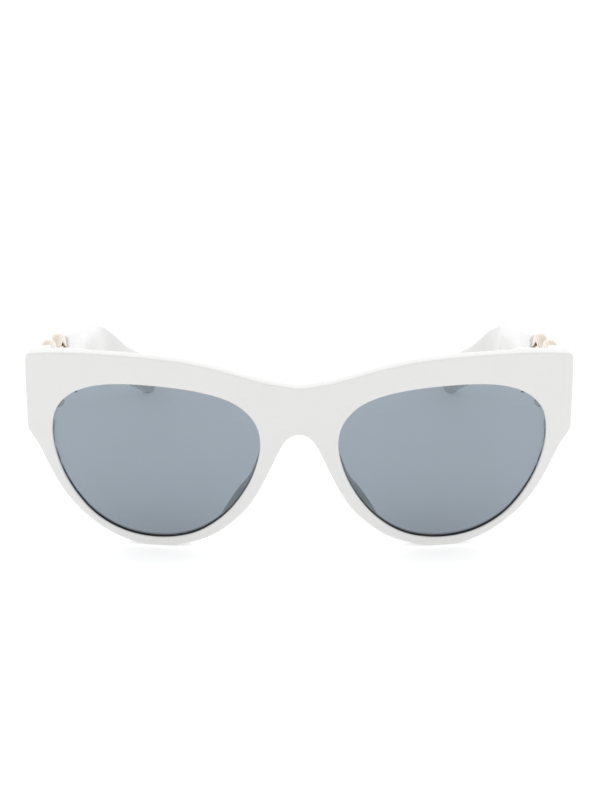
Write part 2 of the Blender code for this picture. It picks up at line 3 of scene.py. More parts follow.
import bmesh
import bpy
import numpy as np
from mathutils import Matrix, Vector
from mathutils.geometry import delaunay_2d_cdt
from mathutils.kdtree import KDTree


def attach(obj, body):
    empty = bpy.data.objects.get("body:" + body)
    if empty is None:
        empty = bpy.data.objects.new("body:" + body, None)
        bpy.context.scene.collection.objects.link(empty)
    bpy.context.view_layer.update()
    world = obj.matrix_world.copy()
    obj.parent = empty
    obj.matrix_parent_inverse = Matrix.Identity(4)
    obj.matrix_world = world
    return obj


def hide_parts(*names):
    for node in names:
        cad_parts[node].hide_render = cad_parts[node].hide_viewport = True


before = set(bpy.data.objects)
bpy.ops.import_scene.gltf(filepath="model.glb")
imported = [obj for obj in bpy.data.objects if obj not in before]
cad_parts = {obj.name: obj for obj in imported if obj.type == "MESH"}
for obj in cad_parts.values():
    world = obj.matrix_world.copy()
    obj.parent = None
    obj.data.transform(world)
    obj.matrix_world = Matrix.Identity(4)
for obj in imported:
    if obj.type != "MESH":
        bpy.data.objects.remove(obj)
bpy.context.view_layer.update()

MM = 0.001

# ---------------------------------------------------------------- Table and light
# The glasses stand open on a wide, matt, faintly glowing white table top. Pale walls light them
# evenly, brighter low down, and one very wide soft lamp hangs above and a little behind them.
TABLE_SIZE = 12.0
TABLE_TILES = 12
TABLE_GLOW = 0.28
TABLE_DROP = 0.02 * MM  # a hair below the glasses
WALL_LIGHT = (1.0, 0.66)  # at the table's height, and overhead
WALL_FADE = (0.1, 0.9)  # heights on the unit sphere between which it changes
LAMP_LIGHT = 1.35
LAMP_WIDTH = math.radians(130)
LAMP_TILT = math.radians(24)  # away from straight above, toward the back
LOOK_DOWN = math.radians(20)
CAMERA_AWAY = 0.5
CAMERA_AIM = Vector((0, -67.47 * MM, 43.58 * MM))
CAMERA_LENS = 84.04  # millimetres, on the usual 36 mm frame
CAMERA_SHIFT = 0.0009
CAMERA_NEAREST = 0.01
GRAIN_MIDDLE = (0.3, 0.7)  # the part of a grain's range that is put to use


def add_camera():
    camera = bpy.data.objects.new("camera", bpy.data.cameras.new("camera"))
    ahead = Vector((0, math.cos(LOOK_DOWN), -math.sin(LOOK_DOWN)))
    camera.location = CAMERA_AIM - ahead * CAMERA_AWAY
    camera.rotation_euler = (math.pi / 2 - LOOK_DOWN, 0, 0)
    camera.data.lens = CAMERA_LENS
    camera.data.shift_x = CAMERA_SHIFT
    camera.data.clip_start = CAMERA_NEAREST
    bpy.context.scene.collection.objects.link(camera)
    bpy.context.scene.camera = camera


def grain(tree, scale, detail=4.0, stretch=(1, 1, 1)):
    """Soft random grain, finer as the scale grows, and drawn out where the stretch is small."""
    place = tree.nodes.new("ShaderNodeTexCoord")
    drawn = tree.nodes.new("ShaderNodeMapping")
    drawn.inputs["Scale"].default_value = stretch
    noise = tree.nodes.new("ShaderNodeTexNoise")
    noise.inputs["Scale"].default_value = scale
    noise.inputs["Detail"].default_value = detail
    tree.links.new(place.outputs["Object"], drawn.inputs["Vector"])
    tree.links.new(drawn.outputs["Vector"], noise.inputs["Vector"])
    return noise.outputs["Fac"]


def spread(tree, source, low, high):
    """The middle part of a grain, spread over a range of values."""
    node = tree.nodes.new("ShaderNodeMapRange")
    node.inputs["From Min"].default_value = GRAIN_MIDDLE[0]
    node.inputs["From Max"].default_value = GRAIN_MIDDLE[1]
    node.inputs["To Min"].default_value = low
    node.inputs["To Max"].default_value = high
    tree.links.new(source, node.inputs["Value"])
    return node.outputs["Result"]


def shade(tree, source, dark, light):
    """A colour between two shades, as a grain says."""
    node = tree.nodes.new("ShaderNodeValToRGB")
    for element, place, colour in zip(node.color_ramp.elements, GRAIN_MIDDLE, (dark, light)):
        element.position = place
        element.color = (*colour, 1)
    tree.links.new(source, node.inputs["Fac"])
    return node.outputs["Color"]


def relief(tree, shader, layers):
    """Fine relief in a surface, from pairs of a grain and its height in metres."""
    under = None
    for source, height in layers:
        bump = tree.nodes.new("ShaderNodeBump")
        bump.inputs["Distance"].default_value = height
        tree.links.new(source, bump.inputs["Height"])
        if under:
            tree.links.new(under, bump.inputs["Normal"])
        under = bump.outputs["Normal"]
    tree.links.new(under, shader.inputs["Normal"])


def new_finish(name, **sockets):
    """A material with a Principled shader, and its even values set on the shader."""
    finish = bpy.data.materials.new(name)
    finish.use_nodes = True
    shader = finish.node_tree.nodes["Principled BSDF"]
    for socket, value in sockets.items():
        shader.inputs[socket.replace("_", " ").title().replace("Ior", "IOR")].default_value = value
    return finish, finish.node_tree, shader


def table_finish():
    finish, tree, shader = new_finish("matt_table_top", roughness=0.85, specular_ior_level=0.1,
                                      emission_strength=TABLE_GLOW)
    shader.inputs["Emission Color"].default_value = (1, 1, 1, 1)
    tone = shade(tree, grain(tree, 30), (0.885, 0.89, 0.895), (0.9, 0.9, 0.9))
    tree.links.new(tone, shader.inputs["Base Color"])
    relief(tree, shader, [(grain(tree, 900), 0.01 * MM)])
    return finish


add_camera()
bpy.context.scene.view_settings.view_transform = "Standard"
walls = bpy.data.worlds.new("pale_walls")
walls.use_nodes = True
toward = walls.node_tree.nodes.new("ShaderNodeTexCoord")
height = walls.node_tree.nodes.new("ShaderNodeSeparateXYZ")
fading = walls.node_tree.nodes.new("ShaderNodeMapRange")
fading.inputs["From Min"].default_value = WALL_FADE[0]
fading.inputs["From Max"].default_value = WALL_FADE[1]
fading.inputs["To Min"].default_value = WALL_LIGHT[0]
fading.inputs["To Max"].default_value = WALL_LIGHT[1]
background = walls.node_tree.nodes["Background"]
background.inputs["Color"].default_value = (1, 1, 1, 1)
walls.node_tree.links.new(toward.outputs["Generated"], height.inputs["Vector"])
walls.node_tree.links.new(height.outputs["Z"], fading.inputs["Value"])
walls.node_tree.links.new(fading.outputs["Result"], background.inputs["Strength"])
bpy.context.scene.world = walls
lamp = bpy.data.objects.new("soft_lamp", bpy.data.lights.new("soft_lamp", "SUN"))
lamp.data.energy = LAMP_LIGHT
lamp.data.angle = LAMP_WIDTH
lamp.rotation_euler = (-LAMP_TILT, 0, 0)
bpy.context.scene.collection.objects.link(lamp)
table_mesh = bpy.data.meshes.new("table_top")
table_bm = bmesh.new()
bmesh.ops.create_grid(table_bm, x_segments=TABLE_TILES, y_segments=TABLE_TILES,
                      size=TABLE_SIZE / 2)
table_bm.to_mesh(table_mesh)
table_bm.free()
table_mesh.materials.append(table_finish())
table = bpy.data.objects.new("table_top", table_mesh)
table.location.z = -TABLE_DROP
bpy.context.scene.collection.objects.link(table)

# ---------------------------------------------------------------- Front
# The front is cut from one sheet of white cellulose acetate, bent a little round the face, and
# tumbled until its edges are soft. Both ends are thick blocks that hold the hinges. A groove
# inside each rim holds the lens.
ORIGIN_DEPTH = 67.47 * MM  # the bridge stands this far in front of the origin
WRAP_RADIUS = 333 * MM
PLATE = 4.2 * MM
FRONT_EDGE = 0.55 * MM  # how far the outer front edge is rounded everywhere
SIDE_EDGE = 0.35 * MM  # how much more at both sides
STAND_EDGE = 0.8 * MM  # how much more where it stands
FACING_SIDE = (0.6, 1.0)  # sideways part of the outward direction, from not a side to a side
FACING_DOWN = (0.3, 1.0)  # the same for its downward part
STAND_RISE = (6 * MM, 16 * MM)  # heights between which the extra rounding fades out
BACK_EDGE = 0.6 * MM
RIM_EDGE = 0.35 * MM
FRONT_EDGE_STEPS = 8
BACK_EDGE_STEPS = 6
RIM_EDGE_STEPS = 4
CURVE_STEPS = 12
EASING = 26
OUTLINE_TUMBLING = 6
EYE_TUMBLING = 8
OUTLINE_STEP = 0.42 * MM
EYE_STEP = 0.55 * MM
FACE_STEP = 1.3 * MM
FACE_CLEAR = 0.45 * MM  # how far the corners inside a face keep from its edges
BACK_CLEAR = 0.25 * MM
BUTT_DEPTH = 14.5 * MM
LEAF_SEAT_DEPTH = 11.2 * MM
SEAT_X = (57.1 * MM, 59.6 * MM)  # the slopes up to the hinge's seat
SEAT_Z = (38.0 * MM, 40.5 * MM)
BUTT_X = (67.2 * MM, 67.8 * MM)  # the slopes up to the end of the block
BUTT_Z = (29.5 * MM, 32.0 * MM)
GAP = 0.3 * MM
LENS_THICKNESS = 1.8 * MM
LENS_LIP = 0.9 * MM
LENS_SETBACK = 1.4 * MM
LENS_BULGE = 1.2 * MM
LENS_MIDDLE = Vector((39.0 * MM, 0, 24.5 * MM))
LENS_REACH = 28.0 * MM
# Places in millimetres, half width then height, along the wearer's left half of the outline
FRONT_RUNS = [
    [(0, 46.7), (9.5, 48.3), (20.5, 51.5), (33, 54.0), (48, 55.0), (64, 55.0), (73.6, 54.0)],
    [(73.6, 54.0), (74.2, 53.2), (74.4, 44.0), (74.4, 32.2)],
    [(74.4, 32.2), (71.6, 28.2)],
    [(71.6, 28.2), (66.4, 17.0), (60.4, 9.1), (53.3, 3.6), (46.6, 0.7), (40.0, 0.0)],
    [(40.0, 0.0), (35.4, 0.0)],
    [(35.4, 0.0), (28.2, 1.5), (21.4, 4.9), (13.9, 12.0), (8.9, 21.1), (5.0, 29.6), (2.6, 32.8),
     (0, 33.6)],
]
EYE_OPENING = [
    (10.6, 32.0), (12.7, 38.0), (18.4, 42.8), (28.6, 45.7), (42.6, 46.9), (53.4, 46.4),
    (61.0, 43.9), (65.8, 39.3), (67.3, 32.8), (66.4, 25.4), (63.2, 17.2), (56.8, 8.9),
    (48.0, 3.9), (38.0, 2.5), (28.4, 4.4), (20.3, 10.0), (14.6, 17.6), (11.5, 25.0),
]
# Grid lines over the faces, in millimetres: first, last and step. The slopes get close ones.
FACE_LINES_X = [(-74, 74, 1.3)]
FACE_LINES_Z = [(0, 55, 1.3)]
BACK_PLAIN_HALF = 56.5 * MM
BACK_LINES_X = [(57.1, 59.6, 0.4), (60.6, 66.8, 1.1), (67.2, 67.8, 0.1), (68.6, 74, 1.1)]
BACK_LINES_Z = [(0, 28.8, 1.3), (29.5, 32, 0.35), (32.9, 37.2, 1.3), (38, 40.5, 0.35),
                (41.4, 55, 1.3)]
SIDES = {"left": 1, "right": -1}


def smooth_curve(points, steps, closed=False):
    """Points along a smooth curve through places given in millimetres."""
    places = [Vector(p) if len(p) == 3 else Vector((p[0], 0, p[1])) for p in points]
    count = len(places)
    curve = []
    for i in range(count if closed else count - 1):
        if closed:
            a, b, c, d = (places[(i + k) % count] for k in (-1, 0, 1, 2))
        else:
            b, c = places[i], places[i + 1]
            a = places[i - 1] if i > 0 else 2 * b - c
            d = places[i + 2] if i + 2 < count else 2 * c - b
        for step in range(steps):
            t = step / steps
            curve.append(0.5 * (2 * b + (c - a) * t + (2 * a - 5 * b + 4 * c - d) * t * t
                                + (3 * b - a - 3 * c + d) * t ** 3) * MM)
    if not closed:
        curve.append(places[-1] * MM)
    return curve


def even_loop(loop, spacing):
    """The closed loop again, with an even number of evenly spaced points."""
    lengths = [(loop[(i + 1) % len(loop)] - p).length for i, p in enumerate(loop)]
    count = 2 * round(sum(lengths) / spacing / 2)
    even, i, passed = [], 0, 0.0
    for k in range(count):
        goal = sum(lengths) * k / count
        while passed + lengths[i] < goal:
            passed += lengths[i]
            i += 1
        even.append(loop[i].lerp(loop[(i + 1) % len(loop)], (goal - passed) / lengths[i]))
    return even


def tumbled(loop, rounds):
    """The closed loop with its corners worn round."""
    for _ in range(rounds):
        loop = [(loop[i - 1] + 2 * p + loop[(i + 1) % len(loop)]) / 4 for i, p in enumerate(loop)]
    return loop


def eased(run, rounds):
    """The open run with its bends made more even, and its two ends kept."""
    for _ in range(rounds):
        run = run[:1] + [(a + 2 * b + c) / 4 for a, b, c in zip(run, run[1:], run[2:])] + run[-1:]
    return run


def eye_loop():
    """The left lens opening, as a smooth closed loop."""
    opening = smooth_curve(EYE_OPENING, CURVE_STEPS, closed=True)
    return even_loop(tumbled(opening, EYE_TUMBLING), EYE_STEP)


def outward(loop):
    """The outward direction at each point of a closed loop."""
    away = []
    for i in range(len(loop)):
        along = (loop[(i + 1) % len(loop)] - loop[i - 1]).normalized()
        away.append(Vector((-along.z, 0, along.x)))
    return away


def wrap(x):
    return x * x / (2 * WRAP_RADIUS)


def rise(value, start, end):
    """0 before start, 1 after end, with a smooth rise between."""
    t = min(1.0, max(0.0, (value - start) / (end - start)))
    return t * t * (3 - 2 * t)


def back_depth(x, z):
    """Depth of the front's back face: the plate, the hinge's seat, then the end of the block."""
    plate = wrap(x) + PLATE
    seat = rise(abs(x), *SEAT_X) * rise(z, *SEAT_Z)
    depth = plate + seat * max(0.0, LEAF_SEAT_DEPTH - plate)
    return depth + rise(abs(x), *BUTT_X) * rise(z, *BUTT_Z) * (BUTT_DEPTH - depth)


def lens_depth(x, z):
    """Depth of the lens's front face, which stands forward in its middle."""
    away = (Vector((abs(x), 0, z)) - LENS_MIDDLE).length / LENS_REACH
    return wrap(x) + LENS_SETBACK - LENS_BULGE * (1 - away * away)


def add_row(bm, loop, away, shifts, depths, side=1):
    """One closed row of corners: a loop moved outward by one shift or many, at given depths."""
    if not isinstance(shifts, list):
        shifts = [shifts] * len(loop)
    row = []
    for point, out, shift, depth in zip(loop, away, shifts, depths):
        place = point + out * shift
        row.append(bm.verts.new((side * place.x, depth - ORIGIN_DEPTH, place.z)))
    return row


def skin(bm, rows):
    """Faces between rows of corners, each row a closed loop."""
    for near, far in zip(rows, rows[1:]):
        for i in range(len(near)):
            j = (i + 1) % len(near)
            bm.faces.new((near[i], near[j], far[j], far[i]))


def between(loops, points):
    """Which points lie inside the outer loop and outside the others."""
    x, z = np.array(points).T
    found = np.zeros(len(x), bool)
    for loop in loops:
        for a, b in zip(loop, loop[1:] + loop[:1]):
            if a.y != b.y:
                crosses = (a.y > z) != (b.y > z)
                found ^= crosses & (x < (b.x - a.x) * (z - a.y) / (b.y - a.y) + a.x)
    return found


def fill(bm, rows, depth, lines, clear=FACE_CLEAR):
    """Covers the space inside the first row, and outside the others, with small faces."""
    loops = [[Vector((v.co.x, v.co.z)) for v in row] for row in rows]
    flat = [p for loop in loops for p in loop]
    edges = []
    for loop in loops:
        start = len(edges)
        edges += [(start + i, start + (i + 1) % len(loop)) for i in range(len(loop))]
    near = KDTree(len(flat))
    for i, p in enumerate(flat):
        near.insert((p.x, p.y, 0), i)
    near.balance()
    crossings = [(x, z) for x in lines[0] for z in lines[1]]
    inner = [Vector(p) for p, found in zip(crossings, between(loops, crossings))
             if found and near.find((*p, 0))[2] > clear]
    places, _, faces, origin, _, _ = delaunay_2d_cdt(flat + inner, edges, [], 0, 1e-8, True)
    corners = [v for row in rows for v in row]
    corners += [bm.verts.new((p.x, depth(p.x, p.y) - ORIGIN_DEPTH, p.y)) for p in inner]
    middles = [sum((places[i] for i in face), Vector((0, 0))) / len(face) for face in faces]
    for face, found in zip(faces, between(loops, middles)):
        if found:
            bm.faces.new([corners[origin[i][0]] for i in face])


def steps_between(low, high, step):
    count = max(1, round((high - low) / step))
    return [low + (high - low) * i / count for i in range(count + 1)]


def grid_lines(runs):
    """Places of the lines in runs given in millimetres."""
    return [line for run in runs for line in steps_between(*(value * MM for value in run))]


def new_piece(name, bm, finish, crease=40):
    """A finished piece from its mesh, smooth except where faces meet at more than the crease."""
    bmesh.ops.recalc_face_normals(bm, faces=bm.faces)
    mesh = bpy.data.meshes.new(name)
    bm.to_mesh(mesh)
    bm.free()
    mesh.shade_smooth()
    mesh.set_sharp_from_angle(angle=math.radians(crease))
    mesh.materials.append(finish)
    piece = bpy.data.objects.new(name, mesh)
    bpy.context.scene.collection.objects.link(piece)
    return piece


def quarter(radius, steps):
    """Pairs of inset and depth round a quarter circle, from the face to the wall."""
    turns = [math.pi / 2 * i / steps for i in range(steps + 1)]
    return [(radius * (1 - math.sin(t)), radius * (1 - math.cos(t))) for t in turns]


def front_edge(point, out):
    """How far the outer front edge is rounded: more at the sides, and most where it stands."""
    low = rise(-out.z, *FACING_DOWN) * (1 - rise(point.z, *STAND_RISE))
    return FRONT_EDGE + SIDE_EDGE * rise(abs(out.x), *FACING_SIDE) + STAND_EDGE * low


def front_mesh():
    half = []
    for run in FRONT_RUNS:
        half += eased(smooth_curve(run, CURVE_STEPS), EASING)[:-1]
    half.append(Vector((0, 0, FRONT_RUNS[-1][-1][1] * MM)))
    whole = half + [Vector((-p.x, 0, p.z)) for p in half[1:-1]][::-1]
    outline = tumbled(even_loop(whole, OUTLINE_STEP), OUTLINE_TUMBLING)
    away = outward(outline)
    bm = bmesh.new()
    face = [wrap(p.x) for p in outline]
    behind = [back_depth(p.x - out.x * BACK_EDGE, p.z - out.z * BACK_EDGE)
              for p, out in zip(outline, away)]
    edge = [front_edge(p, out) for p, out in zip(outline, away)]
    rows = [add_row(bm, outline, away, [-inset * e for e in edge],
                    [d + more * e for d, e in zip(face, edge)])
            for inset, more in quarter(1.0, FRONT_EDGE_STEPS)]
    rows += [add_row(bm, outline, away, -inset, [d - more for d in behind])
             for inset, more in quarter(BACK_EDGE, BACK_EDGE_STEPS)[::-1]]
    skin(bm, rows)
    fronts, backs = [rows[0]], [rows[-1]]
    eye = eye_loop()
    away = outward(eye)
    face = [wrap(p.x) for p in eye]
    lens = [lens_depth(p.x, p.z) for p in eye]
    behind = [back_depth(p.x + out.x * RIM_EDGE, p.z + out.z * RIM_EDGE)
              for p, out in zip(eye, away)]
    groove = LENS_LIP + GAP
    for side in SIDES.values():
        rows = [add_row(bm, eye, away, inset, [d + more for d in face], side)
                for inset, more in quarter(RIM_EDGE, RIM_EDGE_STEPS)]
        for shift, more in ((0, -GAP), (groove, -GAP), (groove, LENS_THICKNESS + GAP),
                            (0, LENS_THICKNESS + GAP)):
            rows.append(add_row(bm, eye, away, shift, [d + more for d in lens], side))
        rows += [add_row(bm, eye, away, inset, [d - more for d in behind], side)
                 for inset, more in quarter(RIM_EDGE, RIM_EDGE_STEPS)[::-1]]
        skin(bm, rows)
        fronts.append(rows[0])
        backs.append(rows[-1])
    across, up = grid_lines(FACE_LINES_X), grid_lines(FACE_LINES_Z)
    fill(bm, fronts, lambda x, z: wrap(x), (across, up))
    stepped = grid_lines(BACK_LINES_X)
    across = [x for x in across if abs(x) < BACK_PLAIN_HALF] + stepped + [-x for x in stepped]
    fill(bm, backs, back_depth, (across, grid_lines(BACK_LINES_Z)), BACK_CLEAR)
    return bm


def white_finish():
    finish, tree, shader = new_finish("polished_white_acetate", ior=1.48, coat_weight=0.2,
                                      coat_roughness=0.06, subsurface_weight=0.06)
    shader.inputs["Subsurface Scale"].default_value = 1.2 * MM
    shader.inputs["Subsurface Radius"].default_value = (1, 0.95, 0.9)
    tone = shade(tree, grain(tree, 60, 2), (0.70, 0.70, 0.692), (0.71, 0.71, 0.703))
    tree.links.new(tone, shader.inputs["Base Color"])
    gloss = spread(tree, grain(tree, 120, 3), 0.18, 0.25)
    tree.links.new(gloss, shader.inputs["Roughness"])
    relief(tree, shader, [(grain(tree, 40, 1), 0.02 * MM)])
    return finish


white = white_finish()
front = new_piece("acetate_front", front_mesh(), white)
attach(front, "front")
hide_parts("front_frame")

# ---------------------------------------------------------------- Lenses
# Each lens is a moulded grey-blue plastic sheet, curved outward a little. Its edge is ground
# flat, is painted almost black for the tint's dark seen edge-on and the shade in the groove,
# and is snapped into the groove of the rim.
LENS_CHAMFER = 0.15 * MM
LENS_SPAN_X = (8 * MM, 70 * MM)
LENS_SPAN_Z = (1 * MM, 50 * MM)


def lens_mesh(side):
    eye = eye_loop()
    away = outward(eye)
    bm = bmesh.new()
    rows = []
    for inset, more in ((LENS_CHAMFER, 0), (0, LENS_CHAMFER),
                        (0, LENS_THICKNESS - LENS_CHAMFER), (LENS_CHAMFER, LENS_THICKNESS)):
        shift = LENS_LIP - inset
        depths = [lens_depth(p.x + out.x * shift, p.z + out.z * shift) + more
                  for p, out in zip(eye, away)]
        rows.append(add_row(bm, eye, away, shift, depths, side))
    skin(bm, rows)
    edge = set(bm.faces)
    across = [side * x for x in steps_between(*LENS_SPAN_X, FACE_STEP)]
    lines = across, steps_between(*LENS_SPAN_Z, FACE_STEP)
    fill(bm, rows[:1], lens_depth, lines)
    fill(bm, rows[-1:], lambda x, z: lens_depth(x, z) + LENS_THICKNESS, lines)
    for face in bm.faces:
        face.material_index = 1 if face in edge else 0
    return bm


def tint_finish():
    finish, tree, shader = new_finish("grey_blue_tint", ior=1.5, transmission_weight=1.0)
    shader.inputs["Base Color"].default_value = (1, 1, 1, 1)
    gloss = spread(tree, grain(tree, 260, 3), 0.0, 0.015)
    tree.links.new(gloss, shader.inputs["Roughness"])
    dye = tree.nodes.new("ShaderNodeVolumeAbsorption")
    dye.inputs["Color"].default_value = (0.1, 0.2, 0.29, 1)
    dye.inputs["Density"].default_value = 840
    tree.links.new(dye.outputs["Volume"], tree.nodes["Material Output"].inputs["Volume"])
    relief(tree, shader, [(grain(tree, 45, 1), 0.004 * MM)])
    return finish


def lens_edge_shade_finish():
    finish, tree, shader = new_finish("lens_edge_painted_shade", ior=1.5)
    # Near-black base colour: partly the tint's dark seen edge-on, partly painted shade from the
    # groove round the lens.
    tone = shade(tree, grain(tree, 900), (0.006, 0.007, 0.009), (0.014, 0.016, 0.02))
    tree.links.new(tone, shader.inputs["Base Color"])
    tree.links.new(spread(tree, grain(tree, 1400), 0.4, 0.6), shader.inputs["Roughness"])
    return finish


tint = tint_finish()
lens_edge_shade = lens_edge_shade_finish()
for name, side in SIDES.items():
    lens = new_piece(f"tinted_lens_{name}", lens_mesh(side), tint)
    lens.data.materials.append(lens_edge_shade)
    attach(lens, "front")
    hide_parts(f"lens_{name}")

# ---------------------------------------------------------------- Nose pads
# Each pad is a ridge of the same white acetate, glued to the back of the rim beside the nose.
# It leans away from the nose as it runs back, and fades out at both ends.
PAD_LINE = [(21.6, 7.3), (16.0, 12.4), (12.2, 18.2), (10.1, 28.0)]
PAD_WIDTH = 2.9 * MM
PAD_DEPTH = 6.0 * MM
PAD_FLARE = 1.0 * MM
PAD_SINK = 0.03 * MM  # how far it reaches into the rim
PAD_STATIONS = 40
PAD_FULLEST = 0.85  # below 1, the pad is fullest nearer its lower end
PAD_LEAST = 0.04  # share of its full size that the pad keeps at its ends
PAD_END_WIDTH = 0.35  # share of the full width at the ends
# Across the pad as a share of its width, its lean, and its share of the depth
PAD_SECTION = [(-0.5, 0.0, 0.0), (-0.42, 0.25, 0.4), (-0.3, 0.55, 0.75), (-0.12, 0.8, 0.95),
               (0.14, 1.0, 1.0), (0.4, 1.0, 0.86), (0.5, 0.6, 0.55), (0.5, 0.0, 0.0)]


def pad_mesh(side):
    line = smooth_curve(PAD_LINE, 16)
    last = len(line) - 1
    section = [p / MM for p in smooth_curve(PAD_SECTION, 4)]
    bm = bmesh.new()
    rows = []
    for k in range(PAD_STATIONS + 1):
        share = (1 - math.cos(math.pi * k / PAD_STATIONS)) / 2
        swell = max(PAD_LEAST, math.sin(math.pi * share ** PAD_FULLEST))
        i = round(share * last)
        along = (line[min(i + 1, last)] - line[max(i - 1, 0)]).normalized()
        i = min(i, last - 1)
        place = line[i].lerp(line[i + 1], share * last - i)
        away = Vector((along.z, 0, -along.x))
        width = PAD_WIDTH * (PAD_END_WIDTH + (1 - PAD_END_WIDTH) * swell)
        row = []
        for across, lean, tall in section:
            point = place + away * (across * width + lean * PAD_FLARE * swell)
            depth = wrap(point.x) + PLATE - PAD_SINK + tall * PAD_DEPTH * swell
            row.append(bm.verts.new((side * point.x, depth - ORIGIN_DEPTH, point.z)))
        rows.append(row)
    skin(bm, rows)
    bm.faces.new(rows[0])
    bm.faces.new(rows[-1])
    return bm


for name, side in SIDES.items():
    pad = new_piece(f"glued_pad_{name}", pad_mesh(side), white)
    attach(pad, "front")
    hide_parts(f"nose_pad_{name}")

# ---------------------------------------------------------------- Hinges
# Each hinge is two milled, gold-plated leaves with five knuckles between them. The front leaf is
# riveted to the back of the end block, and one slotted steel screw runs down all the knuckles.
HINGE_X = 65.4 * MM
HINGE_DEPTH = BUTT_DEPTH
HINGE_MIDDLE_Z = 46.4 * MM
KNUCKLES = 5
KNUCKLE_PITCH = 1.8 * MM
KNUCKLE_RADIUS = 1.7 * MM
BORE_RADIUS = 1.0 * MM
LEAF_PLATE = 1.0 * MM
LEAF_BEVEL = 0.12 * MM
LEAF_SEAT_GAP = 0.02 * MM
KNUCKLE_PLAY = 0.12 * MM
FRONT_WEB_HALF = 1.2 * MM
TEMPLE_WEB = (0.5 * MM, 1.45 * MM)  # from the hinge's axis outward
TEMPLE_WEB_START = 0.4 * MM
TEMPLE_WEB_BITE = 0.6 * MM
FRONT_LEAF_INNER_X = 60.4 * MM
TEMPLE_LEAF_END = 24.4 * MM
RIVET_X = 62.2 * MM
RIVET_RISES = {"upper": 2.7 * MM, "lower": 0.1 * MM}
# Screws and rivets: shank radius, head radius, head height, shank length
RIVET = (0.6 * MM, 1.25 * MM, 0.5 * MM, 2.4 * MM)
PIVOT_SCREW = (0.7 * MM, 1.5 * MM, 0.8 * MM, KNUCKLES * KNUCKLE_PITCH)
PIVOT_TURN = 0.5  # radians by which its slot is turned
POINT_RADIUS = 0.7  # share of the shank's radius left at its point
POINT_LENGTH = 0.3  # as a share of the shank's radius
HEAD_WALL = 0.45  # share of the head's height that stands straight
DOME_STEPS = 6
DOME_FLAT = 0.05  # share of the head's radius left flat on top
SLOT_WIDTH = 0.3  # as a share of the head's radius
TURNED_SIDES = 48
TEMPLE_X = 69.65 * MM
TOE_IN = math.tan(math.radians(2.6))


def loft(rings):
    """A closed solid through rings that have the same number of points."""
    bm = bmesh.new()
    rows = [[bm.verts.new(point) for point in ring] for ring in rings]
    skin(bm, rows)
    bm.faces.new(rows[0])
    bm.faces.new(rows[-1])
    return bm


def turned(profile, matrix, segments=TURNED_SIDES):
    """A turned solid from pairs of radius and height along its axis."""
    angles = [2 * math.pi * i / segments for i in range(segments)]
    return loft([[matrix @ Vector((r * math.cos(a), r * math.sin(a), h)) for a in angles]
                 for r, h in profile])


def block(side, low, high):
    """A block between two corners given as half width, depth and height."""
    bm = bmesh.new()
    low, high = Vector(low), Vector(high)
    bmesh.ops.create_cube(bm, size=1, matrix=Matrix.Translation((low + high) / 2)
                          @ Matrix.Diagonal((*(high - low), 1)))
    for v in bm.verts:
        v.co = Vector((side * v.co.x, v.co.y - ORIGIN_DEPTH, v.co.z))
    bmesh.ops.recalc_face_normals(bm, faces=bm.faces)
    return bm


def reshape(piece, shapes, operation, crease=40, bevel=0.0):
    """Adds shapes to a piece or takes them out of it, breaks its edges, and keeps the result."""
    helpers = []
    for bm in shapes:
        helper = new_piece("helper", bm, piece.data.materials[0])
        modifier = piece.modifiers.new("shape", "BOOLEAN")
        modifier.operation = operation
        modifier.object = helper
        helpers.append(helper)
    if bevel:
        broken = piece.modifiers.new("broken_edges", "BEVEL")
        broken.width = bevel
        broken.segments = 3
        broken.limit_method = "ANGLE"
        broken.angle_limit = math.radians(50)
    graph = bpy.context.evaluated_depsgraph_get()
    mesh = bpy.data.meshes.new_from_object(piece.evaluated_get(graph))
    piece.modifiers.clear()
    piece.data = mesh
    mesh.shade_smooth()
    mesh.set_sharp_from_angle(angle=math.radians(crease))
    for helper in helpers:
        bpy.data.objects.remove(helper)


def upright(side, x, depth, z):
    return Matrix.Translation((side * x, depth - ORIGIN_DEPTH, z))


def sideways(side, x, depth, z):
    return upright(side, x, depth, z) @ Matrix.Rotation(side * math.pi / 2, 4, "Y")


def temple_x(depth):
    return TEMPLE_X - (depth - BUTT_DEPTH) * TOE_IN


def knuckles(side, indices, inner_x, outer_x, near, far):
    """Barrels on the hinge's axis, each with the web that ties it to its leaf."""
    shapes = []
    tall = KNUCKLE_PITCH - KNUCKLE_PLAY
    for index in indices:
        base = HINGE_MIDDLE_Z + (index - KNUCKLES / 2) * KNUCKLE_PITCH + KNUCKLE_PLAY / 2
        shapes.append(turned([(KNUCKLE_RADIUS, 0), (KNUCKLE_RADIUS, tall)],
                             upright(side, HINGE_X, HINGE_DEPTH, base)))
        shapes.append(block(side, (inner_x, near, base), (outer_x, far, base + tall)))
    return shapes


def hinge_bore(side):
    reach = KNUCKLES * KNUCKLE_PITCH
    return turned([(BORE_RADIUS, -reach), (BORE_RADIUS, reach)],
                  upright(side, HINGE_X, HINGE_DEPTH, HINGE_MIDDLE_Z))


def domed_screw(sizes, matrix):
    """A screw with a low domed head that starts at height 0 and a shank below it."""
    radius, head_radius, head, length = sizes
    profile = [(radius * POINT_RADIUS, -length), (radius, -length + POINT_LENGTH * radius),
               (radius, 0), (head_radius, 0), (head_radius, head * HEAD_WALL)]
    for i in range(1, DOME_STEPS):
        turn = math.pi / 2 * i / DOME_STEPS
        profile.append((head_radius * math.cos(turn),
                        head * (HEAD_WALL + (1 - HEAD_WALL) * math.sin(turn))))
    profile.append((head_radius * DOME_FLAT, head))
    return turned(profile, matrix)


